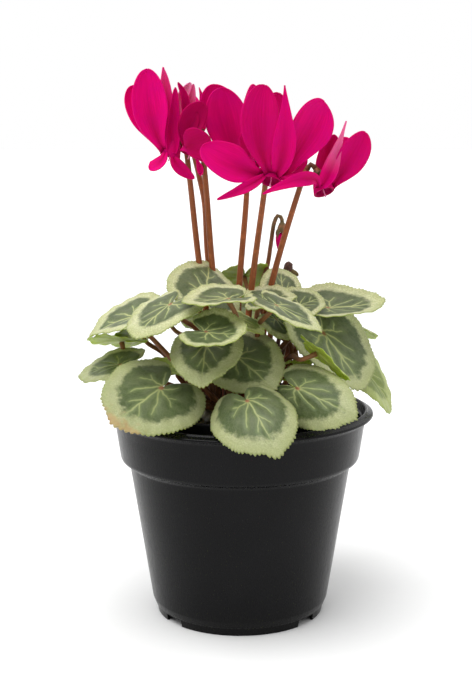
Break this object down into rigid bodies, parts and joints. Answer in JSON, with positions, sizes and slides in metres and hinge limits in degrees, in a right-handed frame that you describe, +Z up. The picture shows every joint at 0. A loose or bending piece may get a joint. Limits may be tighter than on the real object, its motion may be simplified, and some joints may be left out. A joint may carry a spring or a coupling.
{
  "type": "potted cyclamen",
  "caption": "Florist's cyclamen with silver-patterned heart-shaped leaves and magenta flowers on tall stalks, growing in a round black plastic pot.",
  "frame": {"origin": "centre of the outer pot's foot ring, on the floor", "axes": "+Z up; -Y is the front, the side the picture shows; +X to the right seen from the front"},
  "size_m": [0.1424, 0.1499, 0.2438],
  "materials": {
    "outer_pot": "black moulded polypropylene, satin sheen",
    "inner_pot": "thin black grower's pot, satin",
    "soil": "damp dark brown peat with bark and moss bits",
    "leaf_stalk": "smooth reddish brown stalk, low gloss",
    "leaf": "dark green heart with silvery cream speckled margin, pale veins, soft sheen",
    "petal": "magenta petal, velvety, paler on the back",
    "flower_stalk": "smooth reddish brown stalk, darker at the hook",
    "withered": "dry brown, wrinkled"
  },
  "bodies": {
    "root": {"outer_pot": "outer_pot", "inner_pot": "inner_pot", "soil": "soil", "tuber_and_leaf_stalks": "leaf_stalk", "leaf_01": "leaf", "leaf_02": "leaf", "leaf_03": "leaf", "leaf_04": "leaf", "leaf_05": "leaf", "leaf_06": "leaf", "leaf_07": "leaf", "leaf_08": "leaf", "leaf_09": "leaf", "leaf_10": "leaf", "leaf_11": "leaf", "leaf_12": "leaf", "leaf_13": "leaf", "leaf_14": "leaf", "leaf_15": "leaf", "leaf_16": "leaf", "leaf_17": "leaf", "leaf_18": "leaf", "leaf_19": "leaf", "leaf_20": "leaf", "leaf_21": "leaf", "leaf_22": "leaf", "leaf_23": "leaf", "leaf_24": "leaf", "leaf_25": "leaf", "leaf_26": "leaf", "leaf_27": "leaf", "leaf_28": "leaf", "leaf_29": "leaf", "leaf_30": "leaf", "leaf_31": "leaf", "flower_1_petals": "petal", "flower_1_stalk": "flower_stalk", "flower_2_petals": "petal", "flower_2_stalk": "flower_stalk", "flower_3_petals": "petal", "flower_3_stalk": "flower_stalk", "flower_4_petals": "petal", "flower_4_stalk": "flower_stalk", "flower_5_petals": "petal", "flower_5_stalk": "flower_stalk", "flower_6_petals": "petal", "flower_6_stalk": "flower_stalk", "bud_petals": "petal", "bud_stalk": "flower_stalk", "withered_bud": "withered"}
  },
  "joints": []
}
